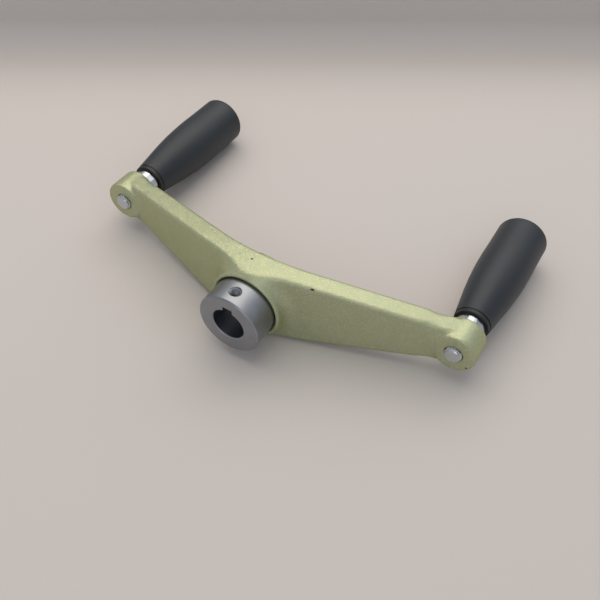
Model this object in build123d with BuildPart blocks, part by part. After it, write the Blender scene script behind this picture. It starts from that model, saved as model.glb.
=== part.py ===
"""Double crank handle with two revolving grips.

The crank turns about the Y axis. The origin is the centre of the keyed bore at the shaft-side
face of the hub bush, +Y runs from the machine towards the operator and +Z is the keyway side.
All sizes are millimetres.
"""
import math
import os

from build123d import *

os.makedirs("parts", exist_ok=True)

# Overall layout
spindle_spacing = 225.0  # between the two grip spindle axes
crank_radius = spindle_spacing / 2

# Hub bush: a turned steel sleeve pressed into the cast arm
bush_diameter = 38.5
bush_length = 40.0
bush_edge_chamfer = 0.8
bore_diameter = 20.0
bore_chamfer = 0.5
keyway_width = 6.0
keyway_depth = 2.8  # beyond the bore surface

# Set-screw hole through the bush wall, over the keyway
set_screw_drill_diameter = 6.8  # tapping size for M8
set_screw_from_face = 8.2
set_screw_mouth_chamfer = 0.35

# Cast arm: two tapering webs swept back from the hub
web_front_at_centre = 19.2  # where the two front faces would meet
web_front_angle = 16.5  # degrees, sweep of the front faces
web_front_bend_radius = 40.0
web_rear_at_centre = 32.1  # where the two rear faces would meet
web_rear_angle = 16.2  # degrees, sweep of the rear faces
web_rear_bend_radius = 110.0
web_crest_margin = 2.8  # height of the webs at the centre beyond the hub's root
web_crest_bend_radius = 260.0
web_edge_round = 2.0

# Hub boss of the arm
hub_rim_y = 16.4
hub_rim_wall = 2.55  # beyond the bush
hub_rim_round = 1.0
hub_draft = 6.0  # degrees
hub_blend_radius = 8.0
hub_rear_y = 39.2
hub_rear_wall = 2.15  # beyond the bush
hub_rear_step = 2.8  # height of the rear boss beyond the tapered part
hub_rear_root = 4.0  # depth to which the rear boss is carried into the tapered part
hub_mouth_chamfer = 1.2

# End bosses of the arm
boss_radius = 12.4
boss_front_proud = 4.5  # beyond the web's front face at the spindle
boss_rear_proud = 0.7  # beyond the web's rear face at the spindle
boss_crest_proud = 0.3  # beyond the web's top and bottom edges at the spindle
boss_edge_round = 1.2
boss_blend_radius = 1.8

# Grip spindles: M10 stud, collar turned round with six spanner flats, plain journal
stud_diameter = 10.0
stud_projection = 1.9  # beyond the boss's front face
stud_end_chamfer = 1.0
stud_mouth_chamfer = 0.35
hexagon_across_flats = 17.0
hexagon_turn = 33.0  # degrees, where the flats stopped when the stud was tightened
collar_diameter = 17.5
collar_length = 6.5
collar_chamfer = 0.4
journal_diameter = 10.0
journal_overrun = 2.6  # journal length beyond the retaining ring
journal_end_chamfer = 0.6

# Guide bush of each grip
running_clearance = 0.05  # radial, between journal and guide bush
thrust_clearance = 0.1  # axial, at each running face
guide_flange_diameter = 21.0
guide_flange_thickness = 2.9
guide_flange_chamfer = 0.4
guide_sleeve_diameter = 13.0

# Grip body: a taper from the base, an arc up to the swell, a shallow waist to the end
grip_length = 82.3
grip_base_radius = 10.85
grip_base_round = 0.6
grip_taper_length = 17.0
grip_taper_end_radius = 13.24
grip_swell_from_base = 52.3
grip_swell_radius = 15.7
grip_waist_radius = 15.6
grip_end_radius = 15.7
grip_end_round = 3.0
end_pocket_depth = 16.6
cap_pocket_diameter = 22.0

# Retaining parts inside the grip's end
washer_diameter = 18.0
washer_thickness = 1.2
ring_thickness = 1.2
ring_groove_diameter = 9.0
ring_outer_diameter = 16.0
ring_gap_width = 4.0
cap_thickness = 2.5
cap_edge_chamfer = 0.5

# Shared radii
bush_radius = bush_diameter / 2
bore_radius = bore_diameter / 2
stud_radius = stud_diameter / 2
journal_radius = journal_diameter / 2
guide_bore_radius = journal_radius + running_clearance
guide_sleeve_radius = guide_sleeve_diameter / 2
cap_pocket_radius = cap_pocket_diameter / 2
hub_rim_radius = bush_radius + hub_rim_wall
hub_rear_radius = bush_radius + hub_rear_wall

# Places along the Y axis worked out from the sizes above
web_front_rise = crank_radius * math.tan(math.radians(web_front_angle))
web_rear_rise = crank_radius * math.tan(math.radians(web_rear_angle))
hub_root_y = hub_rear_y - hub_rear_step
boss_front_y = web_front_at_centre + web_front_rise - boss_front_proud
boss_rear_y = web_rear_at_centre + web_rear_rise + boss_rear_proud
collar_rear_y = boss_rear_y + collar_length
flange_front_y = collar_rear_y + thrust_clearance
grip_front_y = flange_front_y + guide_flange_thickness
grip_rear_y = grip_front_y + grip_length
pocket_floor_y = grip_rear_y - end_pocket_depth
washer_front_y = pocket_floor_y + thrust_clearance
ring_front_y = washer_front_y + washer_thickness
ring_rear_y = ring_front_y + ring_thickness
journal_end_y = ring_rear_y + journal_overrun
cap_front_y = grip_rear_y - cap_thickness
grip_waist_y = grip_front_y + (grip_swell_from_base + grip_length) / 2

# Half-heights of the webs
hub_root_radius = hub_rim_radius + (hub_root_y - hub_rim_y) * math.tan(math.radians(hub_draft))
web_half_height_at_centre = hub_root_radius + web_crest_margin
web_half_height_at_spindle = boss_radius - boss_crest_proud
web_half_block = 2 * web_half_height_at_centre  # half-height of the blank that the outline trims


def on_outline(edge):
    """Tell whether an edge runs lengthwise along the arm's top or bottom face."""
    centre = edge.center()
    run = edge.position_at(1) - edge.position_at(0)
    lengthwise = abs(run.Z) < abs(run.X) and abs(run.Y) < abs(run.X)
    return lengthwise and abs(centre.Z) > web_half_height_at_spindle


def around_hub(edge):
    """Tell whether an edge lies where the hub boss meets the front of the webs."""
    def near(point):
        radius = math.hypot(point.X, point.Z)
        behind_rim = hub_rim_y + 1 < point.Y < hub_root_y - 1
        return behind_rim and hub_rim_radius - 2 < radius < hub_root_radius + 1
    return all(near(edge.position_at(place)) for place in (0.1, 0.5, 0.9))


def around_boss(edge):
    """Tell whether an edge lies where a web runs into an end boss."""
    def near(point):
        inboard = crank_radius - abs(point.X)
        radius = math.hypot(inboard, point.Z)
        return inboard > -0.5 and boss_radius - 1.5 < radius < boss_radius + 0.05
    return all(near(edge.position_at(place)) for place in (0.1, 0.5, 0.9))


def on_bush_surface(edge):
    """Tell whether an edge is the mouth of the set-screw hole in the bush's outer surface."""
    along = abs(edge.center().Y - set_screw_from_face)
    out = edge.position_at(0)
    return along < 1 and edge.center().Z > 0 and abs(math.hypot(out.X, out.Z) - bush_radius) < 0.01


# The cast arm: two swept-back webs, the hub boss and the two end bosses
with BuildPart() as arm:
    with BuildSketch(Plane.XY) as plan:
        with BuildLine():
            Polyline(
                (0, web_front_at_centre),
                (crank_radius, web_front_at_centre + web_front_rise),
                (crank_radius, web_rear_at_centre + web_rear_rise),
                (0, web_rear_at_centre),
                (-crank_radius, web_rear_at_centre + web_rear_rise),
                (-crank_radius, web_front_at_centre + web_front_rise),
                close=True,
            )
        make_face()
        middle = plan.vertices().filter_by(lambda corner: abs(corner.X) < 1).sort_by(Axis.Y)
        fillet(middle[0], web_front_bend_radius)
        middle = plan.vertices().filter_by(lambda corner: abs(corner.X) < 1).sort_by(Axis.Y)
        fillet(middle[-1], web_rear_bend_radius)
    extrude(amount=web_half_block, both=True)
    with BuildSketch(Plane.XY) as hub_profile:
        with BuildLine():
            Polyline(
                (0, hub_rim_y),
                (hub_rim_radius, hub_rim_y),
                (hub_root_radius, hub_root_y),
                (0, hub_root_y),
                close=True,
            )
        make_face()
        fillet(hub_profile.vertices().sort_by(Axis.Y)[:2].sort_by(Axis.X)[-1], hub_rim_round)
    revolve(axis=Axis.Y)
    fillet(arm.edges().filter_by(around_hub), hub_blend_radius)
    with BuildSketch(Plane.XZ.offset(-grip_front_y)) as elevation:
        with BuildLine():
            Polyline(
                (0, web_half_height_at_centre),
                (crank_radius, web_half_height_at_spindle),
                (crank_radius, -web_half_height_at_spindle),
                (0, -web_half_height_at_centre),
                (-crank_radius, -web_half_height_at_spindle),
                (-crank_radius, web_half_height_at_spindle),
                close=True,
            )
        make_face()
        fillet(elevation.vertices().filter_by(lambda corner: abs(corner.X) < 1), web_crest_bend_radius)
    extrude(amount=grip_front_y, mode=Mode.INTERSECT)
    fillet(arm.edges().filter_by(on_outline), web_edge_round)
    with BuildSketch(Plane.XZ.offset(-hub_rear_y)):
        Circle(hub_rear_radius)
    extrude(amount=hub_rear_step + hub_rear_root)
    for side in (-1, 1):
        with BuildSketch(Plane.XY) as boss_profile:
            with Locations((side * (crank_radius + boss_radius / 2), (boss_front_y + boss_rear_y) / 2)):
                Rectangle(boss_radius, boss_rear_y - boss_front_y)
            outer = boss_profile.vertices().filter_by(lambda corner: abs(corner.X) > crank_radius + 1)
            fillet(outer, boss_edge_round)
        revolve(axis=Axis((side * crank_radius, 0, 0), (0, 1, 0)))
    fillet(arm.edges().filter_by(around_boss), boss_blend_radius)
    with BuildSketch(Plane.XZ.offset(-hub_rim_y)):
        Circle(bush_radius)
    extrude(amount=-(hub_rear_y - hub_rim_y), mode=Mode.SUBTRACT)
    hub_mouth = arm.edges().filter_by(GeomType.CIRCLE).filter_by(
        lambda edge: abs(edge.radius - bush_radius) < 0.01 and edge.center().Y < hub_root_y
    )
    chamfer(hub_mouth, hub_mouth_chamfer)
    for side in (-1, 1):
        with BuildSketch(Plane.XZ.offset(-boss_front_y)):
            with Locations((side * crank_radius, 0)):
                Circle(stud_radius)
        extrude(amount=-(boss_rear_y - boss_front_y), mode=Mode.SUBTRACT)
    stud_mouths = arm.edges().filter_by(GeomType.CIRCLE).filter_by(
        lambda edge: abs(edge.radius - stud_radius) < 0.01 and edge.center().Y < boss_front_y + 1
    )
    chamfer(stud_mouths, stud_mouth_chamfer)
arm.part.label = "arm"
export_step(arm.part, "parts/arm.step")

# The hub bush: a steel sleeve with a keyway and one tapped set-screw hole over it
with BuildPart() as hub_bush:
    with BuildSketch(Plane.XZ):
        Circle(bush_radius)
        Circle(bore_radius, mode=Mode.SUBTRACT)
    extrude(amount=-bush_length)
    outer_edges = hub_bush.edges().filter_by(GeomType.CIRCLE).filter_by(
        lambda edge: abs(edge.radius - bush_radius) < 0.01
    )
    chamfer(outer_edges, bush_edge_chamfer)
    bore_edges = hub_bush.edges().filter_by(GeomType.CIRCLE).filter_by(
        lambda edge: abs(edge.radius - bore_radius) < 0.01
    )
    chamfer(bore_edges, bore_chamfer)
    with BuildSketch(Plane.XZ):
        with Locations((0, (bore_radius + keyway_depth) / 2)):
            Rectangle(keyway_width, bore_radius + keyway_depth)
    extrude(amount=-bush_length, mode=Mode.SUBTRACT)
    with BuildSketch(Plane.XY):
        with Locations((0, set_screw_from_face)):
            Circle(set_screw_drill_diameter / 2)
    extrude(amount=bush_radius, mode=Mode.SUBTRACT)
    hole_mouth = hub_bush.edges().filter_by(on_bush_surface)
    chamfer(hole_mouth, set_screw_mouth_chamfer)
hub_bush.part.label = "hub_bush"
export_step(hub_bush.part, "parts/hub_bush.step")

for side_name, side in (("left", -1), ("right", 1)):
    axis_x = side * crank_radius
    spindle_axis = Axis((axis_x, 0, 0), (0, 1, 0))

    # Grip spindle: M10 stud in the arm, collar with spanner flats, plain journal with a ring groove
    with BuildPart() as spindle:
        with BuildSketch(Plane.XY):
            with BuildLine():
                Polyline(
                    (axis_x, boss_front_y - stud_projection),
                    (axis_x + stud_radius - stud_end_chamfer, boss_front_y - stud_projection),
                    (axis_x + stud_radius, boss_front_y - stud_projection + stud_end_chamfer),
                    (axis_x + stud_radius, boss_rear_y),
                    (axis_x + collar_diameter / 2, boss_rear_y),
                    (axis_x + collar_diameter / 2, collar_rear_y - collar_chamfer),
                    (axis_x + collar_diameter / 2 - collar_chamfer, collar_rear_y),
                    (axis_x + journal_radius, collar_rear_y),
                    (axis_x + journal_radius, ring_front_y),
                    (axis_x + ring_groove_diameter / 2, ring_front_y),
                    (axis_x + ring_groove_diameter / 2, ring_rear_y),
                    (axis_x + journal_radius, ring_rear_y),
                    (axis_x + journal_radius, journal_end_y - journal_end_chamfer),
                    (axis_x + journal_radius - journal_end_chamfer, journal_end_y),
                    (axis_x, journal_end_y),
                    close=True,
                )
            make_face()
        revolve(axis=spindle_axis)
        with BuildSketch(Plane.XZ.offset(-boss_rear_y)):
            with Locations((axis_x, 0)):
                Circle(collar_diameter)
                RegularPolygon(
                    hexagon_across_flats / 2, 6, major_radius=False, rotation=hexagon_turn, mode=Mode.SUBTRACT
                )
        extrude(amount=-collar_length, mode=Mode.SUBTRACT)
    spindle.part.label = side_name + "_spindle"
    export_step(spindle.part, "parts/" + side_name + "_spindle.step")

    # Guide bush: a flanged plastic sleeve pressed into the grip, turning on the journal
    with BuildPart() as guide_bush:
        with BuildSketch(Plane.XY):
            with BuildLine():
                Polyline(
                    (axis_x + guide_bore_radius, flange_front_y),
                    (axis_x + guide_flange_diameter / 2 - guide_flange_chamfer, flange_front_y),
                    (axis_x + guide_flange_diameter / 2, flange_front_y + guide_flange_chamfer),
                    (axis_x + guide_flange_diameter / 2, grip_front_y),
                    (axis_x + guide_sleeve_radius, grip_front_y),
                    (axis_x + guide_sleeve_radius, pocket_floor_y),
                    (axis_x + guide_bore_radius, pocket_floor_y),
                    close=True,
                )
            make_face()
        revolve(axis=spindle_axis)
    guide_bush.part.label = side_name + "_guide_bush"
    export_step(guide_bush.part, "parts/" + side_name + "_guide_bush.step")

    # Grip body: slim at the arm, swelling to the palm, hollow at the far end
    with BuildPart() as grip:
        with BuildSketch(Plane.XY) as grip_profile:
            with BuildLine():
                taper = Line(
                    (axis_x + grip_base_radius, grip_front_y),
                    (axis_x + grip_taper_end_radius, grip_front_y + grip_taper_length),
                )
                swell = TangentArc(
                    taper @ 1,
                    (axis_x + grip_swell_radius, grip_front_y + grip_swell_from_base),
                    tangent=taper % 1,
                )
                ThreePointArc(
                    swell @ 1,
                    (axis_x + grip_waist_radius, grip_waist_y),
                    (axis_x + grip_end_radius, grip_rear_y),
                )
                Polyline(
                    (axis_x + grip_end_radius, grip_rear_y),
                    (axis_x, grip_rear_y),
                    (axis_x, grip_front_y),
                    taper @ 0,
                )
            make_face()
            outer_corners = grip_profile.vertices().filter_by(lambda corner: corner.X > axis_x + 1)
            outer_corners = outer_corners.sort_by(Axis.Y)
            fillet(outer_corners[-1], grip_end_round)
            fillet(outer_corners[0], grip_base_round)
        revolve(axis=spindle_axis)
        with BuildSketch(Plane.XZ.offset(-grip_front_y)):
            with Locations((axis_x, 0)):
                Circle(guide_sleeve_radius)
        extrude(amount=-(pocket_floor_y - grip_front_y), mode=Mode.SUBTRACT)
        with BuildSketch(Plane.XZ.offset(-pocket_floor_y)):
            with Locations((axis_x, 0)):
                Circle(cap_pocket_radius)
        extrude(amount=-(grip_rear_y - pocket_floor_y), mode=Mode.SUBTRACT)
    grip.part.label = side_name + "_grip"
    export_step(grip.part, "parts/" + side_name + "_grip.step")

    # Thrust washer between the guide bush and the retaining ring
    with BuildPart() as washer:
        with BuildSketch(Plane.XZ.offset(-washer_front_y)):
            with Locations((axis_x, 0)):
                Circle(washer_diameter / 2)
                Circle(guide_bore_radius, mode=Mode.SUBTRACT)
        extrude(amount=-washer_thickness)
    washer.part.label = side_name + "_washer"
    export_step(washer.part, "parts/" + side_name + "_washer.step")

    # Retaining ring snapped into the journal's groove
    with BuildPart() as retaining_ring:
        with BuildSketch(Plane.XZ.offset(-ring_front_y)):
            with Locations((axis_x, 0)):
                Circle(ring_outer_diameter / 2)
                Circle(ring_groove_diameter / 2, mode=Mode.SUBTRACT)
            with Locations((axis_x, -ring_outer_diameter / 2)):
                Rectangle(ring_gap_width, ring_outer_diameter, mode=Mode.SUBTRACT)
        extrude(amount=-ring_thickness)
    retaining_ring.part.label = side_name + "_retaining_ring"
    export_step(retaining_ring.part, "parts/" + side_name + "_retaining_ring.step")

    # End cap: a disc pressed into the grip's far end
    with BuildPart() as end_cap:
        with BuildSketch(Plane.XZ.offset(-cap_front_y)):
            with Locations((axis_x, 0)):
                Circle(cap_pocket_radius)
        extrude(amount=-cap_thickness)
        cap_rim = end_cap.edges().filter_by(GeomType.CIRCLE).sort_by(Axis.Y)
        chamfer(cap_rim[-1], cap_edge_chamfer)
    end_cap.part.label = side_name + "_end_cap"
    export_step(end_cap.part, "parts/" + side_name + "_end_cap.step")
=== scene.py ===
"""Finish of a two-armed crank handle: cast arm, keyed steel hub bush, two revolving grips.

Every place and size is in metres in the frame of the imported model: the crank turns about Y, the
operator stands at +Y and the keyway is at +Z. Sizes written in millimetres are multiplied by MM.
"""
import logging
import math
from dataclasses import dataclass
from enum import Enum
from typing import Any

import bmesh
import bpy
import numpy as np
from mathutils import Matrix, Vector


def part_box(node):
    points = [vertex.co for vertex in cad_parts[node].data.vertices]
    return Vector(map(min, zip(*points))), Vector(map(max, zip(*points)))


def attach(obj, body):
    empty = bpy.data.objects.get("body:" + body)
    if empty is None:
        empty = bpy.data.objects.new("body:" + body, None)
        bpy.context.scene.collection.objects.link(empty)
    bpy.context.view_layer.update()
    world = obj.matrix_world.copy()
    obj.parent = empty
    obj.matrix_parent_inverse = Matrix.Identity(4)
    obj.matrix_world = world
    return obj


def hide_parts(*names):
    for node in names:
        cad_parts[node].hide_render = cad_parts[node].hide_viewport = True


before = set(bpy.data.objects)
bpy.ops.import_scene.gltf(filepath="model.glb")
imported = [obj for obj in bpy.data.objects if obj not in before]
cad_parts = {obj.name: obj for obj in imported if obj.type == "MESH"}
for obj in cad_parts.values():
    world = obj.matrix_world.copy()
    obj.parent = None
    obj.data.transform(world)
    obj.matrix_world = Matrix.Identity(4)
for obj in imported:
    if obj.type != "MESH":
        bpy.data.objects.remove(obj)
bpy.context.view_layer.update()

MM = 0.001
LOG = logging.getLogger("crank_handle")


class Side(Enum):
    """The two ends of the arm, as the sign of X."""

    LEFT = -1
    RIGHT = 1

    @property
    def word(self) -> str:
        """Return the word that starts this side's node names."""
        return self.name.lower()


class Closure(Enum):
    """How a grid of points closes into a solid skin."""

    CAPPED = "each end row closes on a middle point"
    RING = "the last row joins the first row"


def linear(hex_colour: str) -> tuple[float, float, float, float]:
    """Turn an sRGB hex colour into linear light.

    A channel c from 0 to 1 becomes c / 12.92 up to 0.04045, and ((c + 0.055) / 1.055) to the
    power 2.4 above it.

    Args:
        hex_colour: Six hex digits, with or without a leading #.

    Returns:
        Red, green, blue and an alpha of 1.
    """
    digits = hex_colour.lstrip("#")
    channels = [int(digits[i:i + 2], 16) / 255 for i in (0, 2, 4)]
    light = [c / 12.92 if c <= 0.04045 else ((c + 0.055) / 1.055) ** 2.4 for c in channels]
    return (light[0], light[1], light[2], 1.0)


def per_metre(size_mm: float) -> float:
    """Return the texture scale at which one cell of a pattern is size_mm across."""
    return 1.0 / (size_mm * MM)


def ramp(distance: np.ndarray, width: float) -> np.ndarray:
    """Return 0 up to a distance of 0 and 1 from the width on, with a straight line between."""
    return np.clip(distance / width, 0.0, 1.0)


def mesh_points(mesh: bpy.types.Mesh) -> np.ndarray:
    """Read a mesh's points.

    Args:
        mesh: The mesh.

    Returns:
        Places of shape (points, 3), in metres.
    """
    flat = np.zeros(len(mesh.vertices) * 3, np.float32)
    mesh.vertices.foreach_get("co", flat)
    return flat.reshape(-1, 3)


def add_node(tree: bpy.types.NodeTree, kind: str, settings: dict[Any, Any] | None = None,
             links: dict[Any, bpy.types.NodeSocket] | None = None) -> bpy.types.Node:
    """Add one node with its settings and links.

    Args:
        tree: The node tree that gets the node.
        kind: The node's type name.
        settings: Values by property name, or by input name or number.
        links: Output sockets of other nodes by input name or number.

    Returns:
        The new node.
    """
    node = tree.nodes.new(kind)
    for name, value in (settings or {}).items():
        if isinstance(name, str) and hasattr(node, name):
            setattr(node, name, value)
        else:
            node.inputs[name].default_value = value
    for name, output in (links or {}).items():
        tree.links.new(output, node.inputs[name])
    return node


def new_material(name: str) -> tuple[bpy.types.Material, bpy.types.NodeTree, bpy.types.Node]:
    """Make an empty node material.

    Args:
        name: The finish's name.

    Returns:
        The material, its node tree and its Principled BSDF, already linked to the output.
    """
    material = bpy.data.materials.new(name)
    material.use_nodes = True
    tree = material.node_tree
    tree.nodes.clear()
    shader = add_node(tree, "ShaderNodeBsdfPrincipled")
    add_node(tree, "ShaderNodeOutputMaterial", links={"Surface": shader.outputs["BSDF"]})
    return material, tree, shader


def set_shader(tree: bpy.types.NodeTree, shader: bpy.types.Node, values: dict[str, Any],
               links: dict[str, bpy.types.NodeSocket]) -> None:
    """Set a shader's even values on its own sockets, and link the ones that vary.

    Args:
        tree: The finish's node tree.
        shader: The Principled BSDF.
        values: Values by input name.
        links: Output sockets of other nodes by input name.
    """
    for name, value in values.items():
        shader.inputs[name].default_value = value
    for name, output in links.items():
        tree.links.new(output, shader.inputs[name])


def own_place(tree: bpy.types.NodeTree) -> bpy.types.NodeSocket:
    """Return the piece's own coordinates, in metres."""
    return add_node(tree, "ShaderNodeTexCoord").outputs["Object"]


def noise(tree: bpy.types.NodeTree, place: bpy.types.NodeSocket, size: float, detail: float,
          roughness: float = 0.5, dimensions: str = "3D") -> bpy.types.Node:
    """Add a cloudy noise.

    Args:
        tree: The finish's node tree.
        place: Coordinates of the noise.
        size: Size of its largest clouds, in mm.
        detail: How many times finer clouds are added.
        roughness: Weight of each finer cloud over the one before.
        dimensions: "2D" or "3D".

    Returns:
        The noise's node.
    """
    return add_node(tree, "ShaderNodeTexNoise",
                    {"noise_dimensions": dimensions, "Scale": per_metre(size),
                     "Detail": detail, "Roughness": roughness},
                    {"Vector": place})


def blend(tree: bpy.types.NodeTree, share: bpy.types.NodeSocket, low: str,
          high: str) -> bpy.types.NodeSocket:
    """Mix two colours.

    Args:
        tree: The finish's node tree.
        share: Share of the high colour, from 0 to 1.
        low: Hex colour at a share of 0.
        high: Hex colour at a share of 1.

    Returns:
        The mixed colour's socket.
    """
    return add_node(tree, "ShaderNodeMix",
                    {"data_type": "RGBA", 6: linear(low), 7: linear(high)},
                    {0: share}).outputs[2]


def cover(tree: bpy.types.NodeTree, share: bpy.types.NodeSocket, under: bpy.types.NodeSocket,
          over: str) -> bpy.types.NodeSocket:
    """Lay one colour over a varying one.

    Args:
        tree: The finish's node tree.
        share: How much the upper colour covers, from 0 to 1.
        under: The varying colour's socket.
        over: Hex colour laid over it.

    Returns:
        The covered colour's socket.
    """
    return add_node(tree, "ShaderNodeMix", {"data_type": "RGBA", 7: linear(over)},
                    {0: share, 6: under}).outputs[2]


def spread(tree: bpy.types.NodeTree, value: bpy.types.NodeSocket, low: float,
           high: float) -> bpy.types.NodeSocket:
    """Carry a value from the range 0 to 1 over to another range.

    Args:
        tree: The finish's node tree.
        value: The value's socket.
        low: Result at 0.
        high: Result at 1.

    Returns:
        The result's socket.
    """
    return add_node(tree, "ShaderNodeMapRange", {"To Min": low, "To Max": high},
                    {"Value": value}).outputs[0]


def relief(tree: bpy.types.NodeTree, height: bpy.types.NodeSocket,
           step: float) -> bpy.types.NodeSocket:
    """Bump a surface.

    Args:
        tree: The finish's node tree.
        height: The height's socket.
        step: How far a height of 1 stands out, in mm.

    Returns:
        The bumped normal's socket.
    """
    return add_node(tree, "ShaderNodeBump", {"Strength": 1.0, "Distance": step * MM},
                    {"Height": height}).outputs[0]


def dress(node_name: str, material: bpy.types.Material) -> None:
    """Give a CAD node a finish.

    Args:
        node_name: The CAD node's name.
        material: The finish that fills its material slots.
    """
    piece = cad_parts[node_name]
    for slot in piece.material_slots:
        slot.material = material
    LOG.info("%s dressed in %s", node_name, material.name)


def skin_faces(rows: int, columns: int, closure: Closure) -> list[tuple[int, ...]]:
    """List the faces of a grid that wraps round in its columns.

    Point (i, j) has number i * columns + j. A face joins (i, j), (i, j + 1), (i + 1, j + 1) and
    (i + 1, j). A capped skin has two more points after the grid, the middles of its end rows.

    Args:
        rows: Rows of the grid, along the piece.
        columns: Columns of the grid, round the piece.
        closure: How the skin closes at its end rows.

    Returns:
        Faces as tuples of point numbers.
    """
    last = rows if closure is Closure.RING else rows - 1
    i, j = np.meshgrid(np.arange(last), np.arange(columns), indexing="ij")
    this_row, next_row = i * columns, (i + 1) % rows * columns
    beside = (j + 1) % columns
    sheet = np.stack([this_row + j, this_row + beside, next_row + beside, next_row + j], -1)
    faces = [tuple(face) for face in sheet.reshape(-1, 4).tolist()]
    if closure is Closure.CAPPED:
        pairs = [(column, (column + 1) % columns) for column in range(columns)]
        first_middle, last_middle = rows * columns, rows * columns + 1
        end_row = (rows - 1) * columns
        faces += [(first_middle, b, a) for a, b in pairs]
        faces += [(last_middle, end_row + a, end_row + b) for a, b in pairs]
    return faces


def skin_piece(name: str, points: np.ndarray, closure: Closure, body: str,
               material: bpy.types.Material, crease_degrees: float = 35.0) -> bpy.types.Object:
    """Make a closed piece from a grid of points and hang it on a body.

    Args:
        name: The piece's name.
        points: Grid of shape (rows, columns, 3), in metres in the model's frame.
        closure: How the skin closes at its end rows.
        body: The CAD body that the piece moves with.
        material: The piece's finish.
        crease_degrees: Edges that turn by more than this stay sharp.

    Returns:
        The new object.
    """
    rows, columns, _ = points.shape
    places = points.reshape(-1, 3)
    if closure is Closure.CAPPED:
        places = np.vstack([places, points[0].mean(axis=0), points[-1].mean(axis=0)])
    mesh = bpy.data.meshes.new(name)
    mesh.from_pydata(places.tolist(), [], skin_faces(rows, columns, closure))
    mesh.shade_smooth()
    mesh.set_sharp_from_angle(angle=math.radians(crease_degrees))
    mesh.materials.append(material)
    mesh.update()
    piece = bpy.data.objects.new(name, mesh)
    bpy.context.scene.collection.objects.link(piece)
    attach(piece, body)
    LOG.info("%s made with %d faces on %s", name, len(mesh.polygons), body)
    return piece


@dataclass(frozen=True)
class Pit:
    """A small blow hole in the casting that the enamel didn't fill, sunk by a bump and painted dark as
    shade.
    """

    place: tuple[float, float, float]  # mm
    radius: float  # mm
    stretch: float = 1.0  # length along X over width


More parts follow.
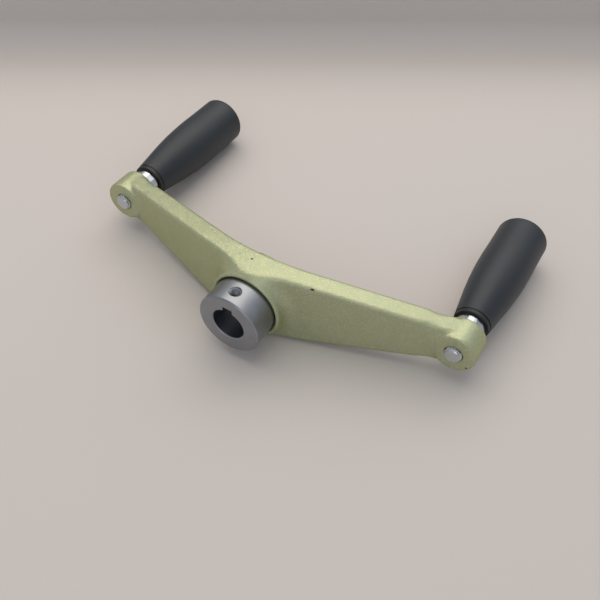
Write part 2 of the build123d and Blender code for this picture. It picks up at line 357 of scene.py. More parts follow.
@dataclass(frozen=True)
class MetallicEnamel:
    """Olive metallic enamel sprayed on a sand-cast light alloy.

    The eye sees a satin olive gold that brightens and sparkles where it turns to the light,
    the soft bumps of the sand mould under it, and a few blow holes. Some flakes carry a pale gold
    painted glint whatever the light, and the blow holes are painted dark as shade.
    """

    colour_high: str = "#B2BA9B"
    colour_low: str = "#A5AE8F"
    # Pale gold painted on the brightest flakes as glints; it also tints the specular light.
    flake_glint_colour: str = "#EEE2AE"
    # Dark olive painted in the pits as the shade inside them.
    pit_shade_colour: str = "#34352A"
    roughness: float = 0.40
    metallic: float = 0.62
    specular: float = 0.9
    flake_size: float = 0.38  # mm; real flakes are 0.05 mm, drawn coarser so that they show
    flake_from: float = 0.72  # random tone, from 0 to 1, above which a flake gets its painted glint
    flake_glint_share: float = 0.4  # how much the brightest flake's painted glint covers
    flake_tilt: float = 0.2  # how far flakes lean, as a share of the normal's length
    sand_size: float = 1.6  # mm
    sand_detail: float = 4.0
    sand_roughness: float = 0.6
    sand_height: float = 0.035  # mm
    swell_size: float = 9.0  # mm
    swell_detail: float = 3.0
    swell_roughness: float = 0.55
    swell_height: float = 0.22  # mm
    pit_depth: float = 0.6  # mm
    pit_inner: float = 0.6  # share of a pit's radius inside which the mask is 1
    pit_outer: float = 1.2  # share of a pit's radius outside which the mask is 0
    pit_wander: float = 0.9  # mm over which noise moves a pit's outline
    pit_wander_size: float = 0.7  # mm

    def build(self, pits: tuple[Pit, ...]) -> bpy.types.Material:
        """Build the enamel's nodes.

        The height in mm is the swell's noise and the sand's noise, each times its height, less
        the pits' mask times their depth. Each flake then leans the normal its own way. The brightest
        flakes are painted pale gold as glints, and the pits are painted dark as shade.

        Args:
            pits: Blow holes, painted dark as shade and sunk.

        Returns:
            The finish.
        """
        material, tree, shader = new_material("olive_metallic_enamel_on_casting")
        place = own_place(tree)
        swell = noise(tree, place, self.swell_size, self.swell_detail, self.swell_roughness)
        sand = noise(tree, place, self.sand_size, self.sand_detail, self.sand_roughness)
        flakes = add_node(tree, "ShaderNodeTexVoronoi", {"Scale": per_metre(self.flake_size)},
                          {"Vector": place})
        tones = add_node(tree, "ShaderNodeSeparateColor", links={0: flakes.outputs["Color"]})
        painted_glint = add_node(tree, "ShaderNodeMapRange",
                          {"From Min": self.flake_from, "From Max": 1.0,
                           "To Min": 0.0, "To Max": self.flake_glint_share},
                          {"Value": tones.outputs[0]})
        colour = blend(tree, swell.outputs["Fac"], self.colour_low, self.colour_high)
        # Painted glint: the brightest flakes are covered with pale gold whatever the light.
        colour = cover(tree, painted_glint.outputs[0], colour, self.flake_glint_colour)
        grains = add_node(tree, "ShaderNodeMath", {"operation": "MULTIPLY", 1: self.sand_height},
                          {0: sand.outputs["Fac"]})
        height = add_node(tree, "ShaderNodeMath",
                          {"operation": "MULTIPLY_ADD", 1: self.swell_height},
                          {0: swell.outputs["Fac"], 2: grains.outputs[0]}).outputs[0]
        if pits:
            hollow = self.hollow(tree, place, pits)
            # Painted shade: the pits are covered with a dark olive.
            colour = cover(tree, hollow, colour, self.pit_shade_colour)
            height = add_node(tree, "ShaderNodeMath",
                              {"operation": "MULTIPLY_ADD", 1: -self.pit_depth},
                              {0: hollow, 2: height}).outputs[0]
        lean = add_node(tree, "ShaderNodeVectorMath",
                        {"operation": "MULTIPLY_ADD", 1: (self.flake_tilt,) * 3,
                         2: (-self.flake_tilt / 2,) * 3},
                        {0: flakes.outputs["Color"]})
        leaning = add_node(tree, "ShaderNodeVectorMath", {"operation": "ADD"},
                           {0: relief(tree, height, 1.0), 1: lean.outputs[0]})
        normal = add_node(tree, "ShaderNodeVectorMath", {"operation": "NORMALIZE"},
                          {0: leaning.outputs[0]})
        set_shader(tree, shader,
                   {"Roughness": self.roughness, "Metallic": self.metallic,
                    "Specular IOR Level": self.specular,
                    "Specular Tint": linear(self.flake_glint_colour)},
                   {"Base Color": colour, "Normal": normal.outputs[0]})
        return material

    def hollow(self, tree: bpy.types.NodeTree, place: bpy.types.NodeSocket,
               pits: tuple[Pit, ...]) -> bpy.types.NodeSocket:
        """Return a mask that is 1 inside a pit and 0 outside.

        Noise of mean one half first moves each place, so a pit's middle moves by half of that.
        The mask falls from 1 to 0 as the distance from the middle, with X shortened by the
        stretch, goes from the inner to the outer share of the radius. The largest mask wins.

        Args:
            tree: The enamel's node tree.
            place: Object coordinates.
            pits: The blow holes.

        Returns:
            The mask's socket.
        """
        rough = noise(tree, place, self.pit_wander_size, 2.0)
        ragged = add_node(tree, "ShaderNodeVectorMath",
                          {"operation": "MULTIPLY_ADD", 1: (self.pit_wander * MM,) * 3},
                          {0: rough.outputs["Color"], 2: place})
        mask = None
        for pit in pits:
            middle = tuple(value * MM + self.pit_wander / 2 * MM for value in pit.place)
            away = add_node(tree, "ShaderNodeVectorMath", {"operation": "SUBTRACT", 1: middle},
                            {0: ragged.outputs[0]})
            squeezed = add_node(tree, "ShaderNodeVectorMath",
                                {"operation": "MULTIPLY", 1: (1 / pit.stretch, 1.0, 1.0)},
                                {0: away.outputs[0]})
            distance = add_node(tree, "ShaderNodeVectorMath", {"operation": "LENGTH"},
                                {0: squeezed.outputs[0]})
            own = add_node(tree, "ShaderNodeMapRange",
                           {"interpolation_type": "SMOOTHSTEP",
                            "From Min": self.pit_outer * pit.radius * MM,
                            "From Max": self.pit_inner * pit.radius * MM,
                            "To Min": 0.0, "To Max": 1.0},
                           {"Value": distance.outputs["Value"]})
            if mask is None:
                mask = own.outputs[0]
            else:
                mask = add_node(tree, "ShaderNodeMath", {"operation": "MAXIMUM"},
                                {0: mask, 1: own.outputs[0]}).outputs[0]
        return mask


@dataclass(frozen=True)
class TurnedSteel:
    """Bare free-cutting steel, turned on a lathe and lightly oiled.

    The eye sees a dull grey metal whose fine tool marks run round the axis, so that its light
    draws out into lengthwise bands on the outside and fans out on the end face.
    """

    colour: str = "#9EA1A7"
    stain: str = "#8C8F96"
    stain_size: float = 7.0  # mm
    roughness: float = 0.34
    polish: float = 0.06  # roughness lost on the marks' crests
    dulling: float = 0.08  # roughness gained in the marks' valleys
    anisotropy: float = 0.5
    mark_size: float = 0.22  # mm between tool marks
    mark_height: float = 0.004  # mm

    def build(self) -> bpy.types.Material:
        """Build the steel's nodes.

        The tool marks are a flat noise of the distance from the Y axis and the place along it,
        so they are the same all round.

        Returns:
            The finish.
        """
        material, tree, shader = new_material("turned_bare_steel")
        place = own_place(tree)
        split = add_node(tree, "ShaderNodeSeparateXYZ", links={0: place})
        flat = add_node(tree, "ShaderNodeCombineXYZ",
                        links={0: split.outputs[0], 1: split.outputs[2]})
        radius = add_node(tree, "ShaderNodeVectorMath", {"operation": "LENGTH"},
                          {0: flat.outputs[0]})
        round_axis = add_node(tree, "ShaderNodeCombineXYZ",
                              links={0: radius.outputs["Value"], 1: split.outputs[1]})
        marks = noise(tree, round_axis.outputs[0], self.mark_size, 3.0, dimensions="2D")
        cloud = noise(tree, place, self.stain_size, 3.0)
        tangent = add_node(tree, "ShaderNodeTangent", {"direction_type": "RADIAL", "axis": "Y"})
        set_shader(tree, shader, {"Metallic": 1.0, "Anisotropic": self.anisotropy}, {
            "Base Color": blend(tree, cloud.outputs["Fac"], self.stain, self.colour),
            "Roughness": spread(tree, marks.outputs["Fac"], self.roughness - self.polish,
                                self.roughness + self.dulling),
            "Normal": relief(tree, marks.outputs["Fac"], self.mark_height),
            "Tangent": tangent.outputs[0],
        })
        return material


@dataclass(frozen=True)
class ZincPlate:
    """Bright passivated zinc plate on machined steel.

    The eye sees a clean silver metal with a faint cool cloud in it.
    """

    colour: str = "#CDD1D4"
    cloud_colour: str = "#B9C0C8"
    cloud_size: float = 3.0  # mm
    roughness: float = 0.24
    grain_size: float = 0.3  # mm
    grain_height: float = 0.004  # mm

    def build(self) -> bpy.types.Material:
        """Build the plate's nodes.

        Returns:
            The finish.
        """
        material, tree, shader = new_material("bright_zinc_plate")
        place = own_place(tree)
        cloud = noise(tree, place, self.cloud_size, 4.0)
        grain = noise(tree, place, self.grain_size, 2.0)
        set_shader(tree, shader, {"Metallic": 1.0, "Roughness": self.roughness}, {
            "Base Color": blend(tree, cloud.outputs["Fac"], self.cloud_colour, self.colour),
            "Normal": relief(tree, grain.outputs["Fac"], self.grain_height),
        })
        return material


@dataclass(frozen=True)
class MouldedPlastic:
    """Glass-filled nylon from a spark-eroded mould.

    The eye sees a near-black satin skin with a very fine even grain.
    """

    name: str
    colour: str
    rubbed_colour: str
    roughness: float
    roughness_swing: float = 0.05  # how far the roughness wanders each way
    cloud_size: float = 11.0  # mm
    grain_size: float = 0.35  # mm
    grain_height: float = 0.012  # mm

    def build(self) -> bpy.types.Material:
        """Build the plastic's nodes.

        Returns:
            The finish.
        """
        material, tree, shader = new_material(self.name)
        place = own_place(tree)
        cloud = noise(tree, place, self.cloud_size, 4.0)
        grain = noise(tree, place, self.grain_size, 2.0)
        set_shader(tree, shader, {}, {
            "Base Color": blend(tree, cloud.outputs["Fac"], self.colour, self.rubbed_colour),
            "Roughness": spread(tree, cloud.outputs["Fac"],
                                self.roughness - self.roughness_swing,
                                self.roughness + self.roughness_swing),
            "Normal": relief(tree, grain.outputs["Fac"], self.grain_height),
        })
        return material


@dataclass(frozen=True)
class PhosphatedSteel:
    """Spring steel with a dark phosphate coat.

    The eye sees a dull charcoal metal.
    """

    colour: str = "#3A3A3D"
    crystal_colour: str = "#2C2C2F"
    crystal_size: float = 0.25  # mm
    metallic: float = 0.8
    roughness: float = 0.55

    def build(self) -> bpy.types.Material:
        """Build the coat's nodes.

        Returns:
            The finish.
        """
        material, tree, shader = new_material("phosphated_spring_steel")
        crystals = noise(tree, own_place(tree), self.crystal_size, 3.0)
        colour = blend(tree, crystals.outputs["Fac"], self.crystal_colour, self.colour)
        set_shader(tree, shader, {"Metallic": self.metallic, "Roughness": self.roughness},
                   {"Base Color": colour})
        return material


@dataclass(frozen=True)
class MattBoard:
    """Matt warm grey board of the studio table."""

    colour: str = "#CBC6C4"
    roughness: float = 0.85
    specular: float = 0.2

    def build(self) -> bpy.types.Material:
        """Build the board's nodes, clear when seen from behind.

        Returns:
            The finish.
        """
        material, tree, shader = new_material("matt_warm_grey_board")
        set_shader(tree, shader,
                   {"Base Color": linear(self.colour), "Roughness": self.roughness,
                    "Specular IOR Level": self.specular}, {})
        clear = add_node(tree, "ShaderNodeBsdfTransparent")
        back = add_node(tree, "ShaderNodeNewGeometry").outputs["Backfacing"]
        both = add_node(tree, "ShaderNodeMixShader",
                        links={0: back, 1: shader.outputs["BSDF"], 2: clear.outputs["BSDF"]})
        output = next(node for node in tree.nodes if node.type == "OUTPUT_MATERIAL")
        tree.links.new(both.outputs[0], output.inputs["Surface"])
        return material


@dataclass(frozen=True)
class Thread:
    """A metric screw thread."""

    major_radius: float  # mm
    pitch: float  # mm
    depth: float  # mm
    land: float = 0.125  # share of the pitch that is flat at the crest, and again at the root

    def dip(self, along: np.ndarray, turn: np.ndarray) -> np.ndarray:
        """Return the depth of the groove below the crest.

        The phase is the distance along the axis in pitches less the share of a turn. A triangle
        wave of the phase, cut flat over the land at crest and root, times the depth.

        Args:
            along: Distance along the axis, in mm.
            turn: Angle round the axis, in radians.

        Returns:
            The depth at each place, in mm.
        """
        phase = np.mod(along / self.pitch - turn / (2 * math.pi), 1.0)
        wave = 1.0 - np.abs(2.0 * phase - 1.0)
        return self.depth * ramp(wave - self.land, 1.0 - 2.0 * self.land)


@dataclass
class CastArm:
    """The painted casting with its hub boss, two webs and two end bosses.

    The solid's edges are softened as sand casting and a thick coat of enamel do, most of all on
    the crown over the hub and where each web runs into its end boss.
    """

    pits: tuple[Pit, ...] = (
        Pit((34.8, 29.8, 21.3), 0.75, 1.7),
        Pit((-3.2, 29.1, 24.5), 0.6),
        Pit((-15.3, 36.9, 23.6), 0.6, 1.5),
        Pit((121.2, 48.0, -6.0), 0.6),
    )
    merge_distance: float = 0.001  # mm within which the solid's points are one
    grid_size: float = 0.72  # mm between the skin's points
    spindle_spacing: float = 225.0  # mm
    hole_radius: float = 19.25  # mm
    stud_hole_radius: float = 5.0  # mm
    gap: float = 0.18  # mm of dark gap round what sits in a hole
    least_reach: float = 0.1  # mm; keeps a point on a hole's axis from being thrown far out
    rim_width: float = 3.2  # mm of the hub's rim that stays crisp
    stud_rim_width: float = 1.0  # mm of a stud hole's rim that stays crisp
    rim_fade: float = 2.0  # mm over which the softening sets in outside a rim
    sweep: float = 0.29  # how far the webs lie back for each mm sideways
    crown_reach: float = 40.0  # mm from the middle, where the crown's softening ends
    crown_fade: float = 14.0  # mm over which it ends sideways
    crown_foot: float = 8.0  # mm above the axis, where it starts
    crown_rise: float = 6.0  # mm over which it starts upwards
    front_depth: float = 30.0  # mm from the origin to the end of its front edge
    front_fade: float = 4.0  # mm over which it ends backwards
    root_place: float = 97.5  # mm from the middle, where a web meets its end boss
    root_width: float = 4.0  # mm
    root_reach: float = 1.5  # root widths from the root's place, where its softening ends
    pull: float = 0.5  # share of the way to its neighbours that a point goes in a pass
    light_passes: int = 3
    heavy_passes: int = 36

    def build(self) -> bpy.types.Object:
        """Make the softened casting in place of the plain solid.

        Returns:
            The casting.
        """
        piece = self.skin()
        mesh = piece.data
        ends = np.zeros(len(mesh.edges) * 2, np.int32)
        mesh.edges.foreach_get("vertices", ends)
        points = self.soften(mesh_points(mesh).astype(float) / MM, ends.reshape(-1, 2))
        mesh.vertices.foreach_set("co", (points * MM).astype(np.float32).ravel())
        mesh.shade_smooth()
        mesh.materials.clear()
        mesh.materials.append(MetallicEnamel().build(self.pits))
        mesh.update()
        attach(piece, "crank")
        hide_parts("arm")
        LOG.info("%s made with %d faces on crank", piece.name, len(mesh.polygons))
        return piece

    def skin(self) -> bpy.types.Object:
        """Lay an even skin of small squares over a copy of the solid.

        Returns:
            The skin as a new object.
        """
        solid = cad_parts["arm"].data.copy()
        shell = bmesh.new()
        shell.from_mesh(solid)
        bmesh.ops.remove_doubles(shell, verts=shell.verts, dist=self.merge_distance * MM)
        shell.to_mesh(solid)
        shell.free()
        piece = bpy.data.objects.new("softened_arm", solid)
        bpy.context.scene.collection.objects.link(piece)
        even = piece.modifiers.new("even_skin", "REMESH")
        even.mode = "VOXEL"
        even.voxel_size = self.grid_size * MM
        scene_graph = bpy.context.evaluated_depsgraph_get()
        fine = bpy.data.meshes.new_from_object(piece.evaluated_get(scene_graph))
        piece.modifiers.clear()
        piece.data = fine
        bpy.data.meshes.remove(solid)
        return piece

    def soften(self, points: np.ndarray, edges: np.ndarray) -> np.ndarray:
        """Round the skin's edges and open its holes.

        In each pass a point goes part of the way to the mean of its neighbours: the pull times
        its looseness. In all passes but the first, light ones, it goes that far only on the
        crown and the roots, because the step is also multiplied by their mask.

        Args:
            points: Points in mm.
            edges: Pairs of point numbers.

        Returns:
            The softened points in mm.
        """
        loose = self.loose(points)[:, None]
        heavy = self.crown_and_roots(points)[:, None]
        first, second = edges[:, 0], edges[:, 1]
        size = len(points)
        count = np.bincount(first, minlength=size) + np.bincount(second, minlength=size)
        for number in range(self.heavy_passes):
            share = loose * heavy if number >= self.light_passes else loose
            total = np.stack([
                np.bincount(first, points[second, axis], size)
                + np.bincount(second, points[first, axis], size)
                for axis in range(3)
            ], -1)
            points = points + self.pull * share * (total / count[:, None] - points)
        return self.open_holes(points)

    def loose(self, points: np.ndarray) -> np.ndarray:
        """Find how freely each point may move.

        The distance of a point outside the nearest crisp rim, over the width of the fade.

        Args:
            points: Points in mm.

        Returns:
            0 in and on the rims of the holes, rising to 1 a little way off them.
        """
        beside = np.abs(points[:, 0]) - self.spindle_spacing / 2
        hub = np.hypot(points[:, 0], points[:, 2]) - self.hole_radius - self.rim_width
        stud = np.hypot(beside, points[:, 2]) - self.stud_hole_radius - self.stud_rim_width
        return ramp(np.minimum(hub, stud), self.rim_fade)

    def crown_and_roots(self, points: np.ndarray) -> np.ndarray:
        """Find where the heavy softening works.

        On the crown, the product of three fades: sideways from the middle, upwards from the
        axis, and backwards behind a front edge that lies back with the sweep. At the roots, one
        fade with the distance sideways from the root's place. The larger of the two counts.

        Args:
            points: Points in mm.

        Returns:
            1 on the crown's front edge and at the roots of the end bosses, fading to 0.
        """
        width = np.abs(points[:, 0])
        edge = self.front_depth + self.sweep * width
        crown = (ramp(self.crown_reach - width, self.crown_fade)
                 * ramp(points[:, 2] - self.crown_foot, self.crown_rise)
                 * ramp(edge - points[:, 1], self.front_fade))
        off_root = np.abs(width - self.root_place) / self.root_width
        return np.maximum(crown, np.clip(self.root_reach - off_root, 0.0, 1.0))

    def open_holes(self, points: np.ndarray) -> np.ndarray:
        """Push the holes' walls outwards, so that a dark line shows round what they hold.

        A point nearer to a hole's axis than its radius and the gap moves out to that distance.

        Args:
            points: Points in mm, which are moved.

        Returns:
            The same points.
        """
        stud_place = self.spindle_spacing / 2
        for middle, hole in ((0.0, self.hole_radius), (-stud_place, self.stud_hole_radius),
                             (stud_place, self.stud_hole_radius)):
            axis = np.array([middle, 0.0])
            radius = hole + self.gap
            away = points[:, [0, 2]] - axis
            reach = np.hypot(away[:, 0], away[:, 1])
            scale = np.where(reach < radius, radius / np.maximum(reach, self.least_reach), 1.0)
            points[:, [0, 2]] = axis + away * scale[:, None]
        return points


@dataclass
class HubBush:
    """The turned steel sleeve with its keyway and tapped set-screw hole."""

    hole_from_face: float = 8.2  # mm
    # The solid's hole has the tapping size, so this radius is the wall that the ridges stand on.
    thread: Thread = Thread(major_radius=3.4, pitch=1.25, depth=0.7)
    thread_bottom: float = 12.9  # mm above the axis, just over the keyway
    thread_top: float = 18.75  # mm above the axis, just under the countersink
    thread_fade: float = 0.5  # mm over which the ridges rise at each end
    root_sunk: float = 0.01  # mm that the thread's root lies in the wall
    back_sunk: float = 0.08  # mm that the thread's back lies in the wall
    columns: int = 72
    rows_per_pitch: int = 12

    def build(self) -> None:
        """Dress the sleeve and cut the look of a thread in its hole."""
        steel = TurnedSteel().build()
        dress("hub_bush", steel)
        self.thread_piece(steel)

    def thread_piece(self, steel: bpy.types.Material) -> bpy.types.Object:
        """Make the thread as a thin lining of the hole.

        The inner wall's radius is the hole's less the thread's ridge, which is the depth less the
        dip of the groove, and fades to nothing at both ends. The outer wall is a plain cylinder
        just inside the steel. The last row joins the first.

        Args:
            steel: The sleeve's finish.

        Returns:
            The lining.
        """
        length = self.thread_top - self.thread_bottom
        rows = int(length / self.thread.pitch * self.rows_per_pitch)
        height = np.linspace(self.thread_bottom, self.thread_top, rows)[:, None]
        turn = (np.arange(self.columns) * 2 * math.pi / self.columns)[None, :]
        from_end = np.minimum(height - self.thread_bottom, self.thread_top - height)
        ridge = (self.thread.depth - self.thread.dip(height, turn)) * ramp(from_end, self.thread_fade)
        inner = self.thread.major_radius + self.root_sunk - ridge
        outer = np.full_like(inner, self.thread.major_radius + self.back_sunk)
        radius = np.vstack([inner[::-1], outer])
        level = np.vstack([height[::-1], height]) + np.zeros_like(radius)
        ahead = self.hole_from_face + radius * np.sin(turn)
        points = np.stack([radius * np.cos(turn), ahead, level], -1)
        return skin_piece("set_screw_thread", points * MM, Closure.RING, "crank",
                          steel)


@dataclass
class GripSpindle:
    """A zinc-plated spindle: threaded stud end, collar with spanner flats, plain journal."""

    side: Side
    thread: Thread = Thread(major_radius=5.0, pitch=1.5, depth=0.9)
    thread_length: float = 6.0  # mm
    end_chamfer: float = 1.0  # mm
    collar_front: float = 65.49  # mm
    collar_length: float = 6.5  # mm
    collar_radius: float = 8.75  # mm
    collar_chamfer: float = 0.4  # mm
    across_flats: float = 17.0  # mm
    flats_turn: float = 33.0  # degrees
    journal_radius: float = 5.0  # mm
    journal_chamfer: float = 0.6  # mm
    groove_radius: float = 4.5  # mm
    groove_front: float = 142.1  # mm
    groove_width: float = 1.2  # mm
    shoulder: float = 0.001  # mm along the axis between the two edges of a square shoulder
    thread_clear: float = 0.01  # mm before the collar that has no thread
    columns: int = 144
    rows_per_pitch: int = 14
    crease_degrees: float = 10.0

    def build(self, plate: bpy.types.Material) -> bpy.types.Object:
        """Make the spindle in place of the plain solid.

        The radius at each place is the least of the plain profile's, the thread's before the
        collar, and the spanner hexagon's on the collar.

        Args:
            plate: The zinc plate.

        Returns:
            The spindle.
        """
        node = self.side.word + "_spindle"
        low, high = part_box(node)
        front, rear = low.y / MM, high.y / MM
        axis_x = (low.x + high.x) / 2 / MM
        turn = (np.arange(self.columns) * 2 * math.pi / self.columns)[None, :]
        along, plain = self.profile(front, rear)
        run_out = ramp(front + self.thread_length - along, self.thread.pitch)
        threaded = self.thread.major_radius - self.thread.dip(along - front, turn) * run_out
        on_stud = along < self.collar_front - self.thread_clear
        collar_rear = self.collar_front + self.collar_length
        on_collar = (along >= self.collar_front) & (along <= collar_rear)
        radius = np.minimum(plain + np.zeros_like(turn), np.where(on_stud, threaded, math.inf))
        radius = np.where(on_collar, np.minimum(radius, self.flat_radius(turn)), radius)
        points = np.stack([axis_x + radius * np.sin(turn), along + np.zeros_like(radius),
                           radius * np.cos(turn)], -1)
        piece = skin_piece(self.side.word + "_threaded_spindle", points * MM, Closure.CAPPED, "crank",
                           plate, crease_degrees=self.crease_degrees)
        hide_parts(node)
        return piece

    def profile(self, front: float, rear: float) -> tuple[np.ndarray, np.ndarray]:
        """Draw the spindle without its thread and flats.

        Args:
            front: Place of the stud's end face, in mm.
            rear: Place of the journal's end face, in mm.

        Returns:
            Places along the axis and the radius at each, as columns, in mm.
        """
        steps = self.rows_per_pitch * int(self.thread_length / self.thread.pitch)
        stud_along = np.linspace(front, front + self.thread_length, steps)
        stud_radius = np.minimum(self.thread.major_radius,
                                 self.thread.major_radius - self.end_chamfer + stud_along - front)
        collar_rear = self.collar_front + self.collar_length
        groove_rear = self.groove_front + self.groove_width
        rest = (
            (self.collar_front - self.shoulder, self.thread.major_radius),
            (self.collar_front, self.collar_radius),
            (collar_rear - self.collar_chamfer, self.collar_radius),
            (collar_rear, self.collar_radius - self.collar_chamfer),
            (collar_rear + self.shoulder, self.journal_radius),
            (self.groove_front, self.journal_radius),
            (self.groove_front + self.shoulder, self.groove_radius),
            (groove_rear, self.groove_radius),
            (groove_rear + self.shoulder, self.journal_radius),
            (rear - self.journal_chamfer, self.journal_radius),
            (rear, self.journal_radius - self.journal_chamfer),
        )
        along = np.concatenate([stud_along, [place for place, _ in rest]])
        radius = np.concatenate([stud_radius, [size for _, size in rest]])
        return along[:, None], radius[:, None]

    def flat_radius(self, turn: np.ndarray) -> np.ndarray:
        """Find the radius of the spanner hexagon.

        Half the size across flats over the cosine of the angle from the nearest flat's middle.

        Args:
            turn: Angle round the axis from +Z towards +X, in radians.

        Returns:
            The radius at each angle, in mm.
        """
        sixth = math.pi / 3
        from_flat = np.mod(turn - math.radians(self.flats_turn) + sixth / 2, sixth) - sixth / 2
        return self.across_flats / 2 / np.cos(from_flat)


@dataclass
class RevolvingGrip:
    """A grip body with its guide bush, end cap, washer and retaining ring."""

    side: Side

    def build(self, skin: bpy.types.Material, guide: bpy.types.Material,
              plate: bpy.types.Material, spring: bpy.types.Material) -> None:
        """Dress the grip's pieces.

        Args:
            skin: Plastic of the body and cap.
            guide: Plastic of the guide bush, darker than the body's, partly as painted shade.
            plate: Plate of the washer.
            spring: Coat of the retaining ring.
        """
        word = self.side.word
        dress(word + "_grip", skin)
        dress(word + "_end_cap", skin)
        dress(word + "_guide_bush", guide)
        dress(word + "_washer", plate)
        dress(word + "_retaining_ring", spring)


@dataclass(frozen=True)
class Lamp:
    """A rectangular lamp, placed in axes that tilt with the table."""

    name: str
    place: tuple[float, float, float]  # m
    aim: tuple[float, float, float]  # m
    size: tuple[float, float]  # m
    watts: float
    colour: str

    def hang(self, turn: Matrix) -> None:
        """Add the lamp to the scene.

        Args:
            turn: Rotation of the table about X.
        """
        lamp = bpy.data.lights.new(self.name, "AREA")
        lamp.shape = "RECTANGLE"
        lamp.size, lamp.size_y = self.size
        lamp.energy = self.watts
        lamp.color = linear(self.colour)[:3]
        holder = bpy.data.objects.new(self.name, lamp)
        bpy.context.scene.collection.objects.link(holder)
        spot = turn @ Vector(self.place)
        holder.location = spot
        holder.rotation_euler = (turn @ Vector(self.aim) - spot).to_track_quat("-Z", "Y").to_euler()


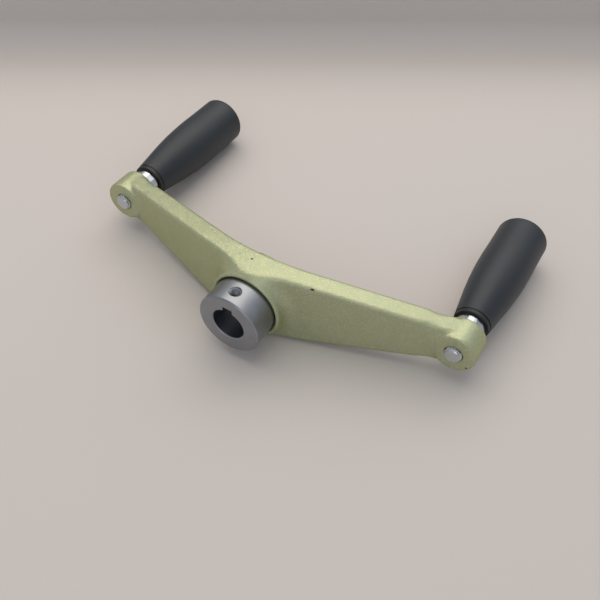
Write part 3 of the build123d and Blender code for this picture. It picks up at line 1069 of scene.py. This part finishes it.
@dataclass
class Studio:
    """Table, lamps and camera."""

    lamps: tuple[Lamp, ...] = (
        Lamp("key_lamp", (-0.48, 0.55, 1.15), (-0.48, 0.45, 0.0), (1.6, 1.6), 12.4, "#FFF3E1"),
        Lamp("window_lamp", (0.10, 1.30, 0.90), (0.0, 0.06, 0.0), (1.6, 0.95), 3.2, "#FFFFFF"),
        Lamp("fill_lamp", (0.50, -0.90, 0.90), (0.0, 0.06, 0.0), (0.8, 0.8), 1.5, "#FBFDFF"),
    )
    room_colour: str = "#F7FAFF"
    room_strength: float = 0.48
    camera_place: tuple[float, float, float] = (159.27, -211.29, 312.60)  # mm
    camera_target: tuple[float, float, float] = (23.64, 37.02, 0.0)  # mm
    lens: float = 44.9  # mm
    sensor_width: float = 36.0  # mm
    clip_range: tuple[float, float] = (0.01, 20.0)  # m
    steepest: float = 0.3  # slope that the table's is sure to be under
    halvings: int = 30
    table_reach: float = 2000.0  # mm before and behind the camera's foot
    table_half_width: float = 2000.0  # mm
    cove_front: float = 532.0  # mm ahead of the camera's foot
    cove_radius: float = 22.0  # mm
    cove_points: int = 25
    wall_height: float = 76.0  # mm

    def build(self) -> None:
        """Make the table, the lamps, the room's light and the camera."""
        slope, height = self.table_slope()
        tilt = math.atan(slope)
        turn = Matrix.Rotation(tilt, 4, "X")
        up = turn @ Vector((0.0, 0.0, 1.0))
        self.table(up, height)
        for lamp in self.lamps:
            lamp.hang(turn)
        self.room()
        self.camera(up)
        LOG.info("table tilted %.2f degrees, %.2f mm below the origin", math.degrees(tilt), -height / MM)

    @staticmethod
    def lowest(nodes: tuple[str, ...], slope: float) -> float:
        """Find how high a sloping plane may lie under some pieces.

        Args:
            nodes: Names of the CAD nodes.
            slope: The plane's slope along Y.

        Returns:
            The least of z - slope * y over the nodes' points, in metres.
        """
        clouds = [mesh_points(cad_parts[name].data) for name in nodes]
        return min(float((points[:, 2] - slope * points[:, 1]).min()) for points in clouds)

    def table_slope(self) -> tuple[float, float]:
        """Find the plane that the handle lies on.

        The plane holds a line along X and touches both the arm and the grips from below. For a
        slope s, the arm allows the height min(z - s y) at y = 0 and so do the grips. The slope
        where both allow the same height is found by halving.

        Returns:
            The slope of the plane along Y, and its height at y = 0 in metres.
        """
        low, high = 0.0, self.steepest
        for _ in range(self.halvings):
            middle = (low + high) / 2
            if self.lowest(("arm",), middle) < self.lowest(("left_grip", "right_grip"), middle):
                low = middle
            else:
                high = middle
        return low, self.lowest(("arm",), low)

    def sight(self) -> tuple[Vector, Vector]:
        """Return the camera's place in metres and the direction it looks in."""
        place, target = Vector(self.camera_place) * MM, Vector(self.camera_target) * MM
        return place, (target - place).normalized()

    def table(self, up: Vector, height: float) -> None:
        """Make the table top and a low coved wall on it that stands square to the camera.

        Two profiles are carried sideways: a flat line, and a quarter circle that goes on upright.
        Their places are distances from the camera's foot on the table, straight ahead and up.

        Args:
            up: The table's normal.
            height: Height of the table at the origin, in metres.
        """
        place, forward = self.sight()
        ahead = (forward - up * forward.dot(up)).normalized()
        beside = ahead.cross(up)
        foot = place - up * (place - Vector((0.0, 0.0, height))).dot(up)
        arc = np.linspace(0.0, math.pi / 2, self.cove_points)
        bend_along = self.cove_front + self.cove_radius * np.sin(arc)
        bend_up = self.cove_radius * (1 - np.cos(arc))
        top_along = [-self.table_reach, self.table_reach]
        wall_along = [self.cove_front + self.cove_radius]
        along = np.concatenate([top_along, bend_along, wall_along]) * MM
        rise = np.concatenate([[0.0, 0.0], bend_up, [self.wall_height]]) * MM
        across = np.array([-self.table_half_width, self.table_half_width]) * MM
        grid = np.stack(np.broadcast_arrays(across[:, None], along[None, :], rise[None, :]), -1)
        points = grid.reshape(-1, 3) @ np.array([beside, ahead, up]) + np.array(foot)
        # The first strip is the table top. No strip joins it to the cove, which starts on it.
        count = len(along)
        strips = [0, *range(len(top_along), count - 1)]
        faces = [(i, count + i, count + i + 1, i + 1) for i in strips]
        mesh = bpy.data.meshes.new("table")
        mesh.from_pydata(points.tolist(), [], faces)
        mesh.shade_smooth()
        mesh.materials.append(MattBoard().build())
        table = bpy.data.objects.new("table", mesh)
        bpy.context.scene.collection.objects.link(table)

    def room(self) -> None:
        """Set the even light of the room."""
        world = bpy.data.worlds.new("room")
        bpy.context.scene.world = world
        world.use_nodes = True
        light = world.node_tree.nodes["Background"]
        light.inputs["Color"].default_value = linear(self.room_colour)
        light.inputs["Strength"].default_value = self.room_strength

    def camera(self, up: Vector) -> None:
        """Set the camera, level with the table.

        Args:
            up: The table's normal.
        """
        lens = bpy.data.cameras.new("camera")
        lens.lens = self.lens
        lens.sensor_width = self.sensor_width
        lens.clip_start, lens.clip_end = self.clip_range
        holder = bpy.data.objects.new("camera", lens)
        bpy.context.scene.collection.objects.link(holder)
        place, forward = self.sight()
        right = forward.cross(up).normalized()
        level_up = right.cross(forward)
        axes = Matrix((right, level_up, -forward)).transposed().to_4x4()
        holder.matrix_world = Matrix.Translation(place) @ axes
        bpy.context.scene.camera = holder
        bpy.context.scene.view_settings.view_transform = "Standard"


def main() -> None:
    """Build the handle's sub-assemblies in order, then the studio."""
    logging.basicConfig(level=logging.INFO, format="%(name)s: %(message)s")
    CastArm().build()
    HubBush().build()
    plate = ZincPlate().build()
    skin = MouldedPlastic("black_moulded_nylon", "#1D242B", "#222A32", 0.46).build()
    # The guide bush's nylon is darker than the grip's, partly as painted shade in the band between
    # collar and grip.
    guide = MouldedPlastic("black_guide_nylon_with_painted_shade", "#141517", "#1A1B1D", 0.45).build()
    spring = PhosphatedSteel().build()
    for side in Side:
        GripSpindle(side).build(plate)
        RevolvingGrip(side).build(skin, guide, plate, spring)
    Studio().build()


if __name__ == "__main__":
    main()
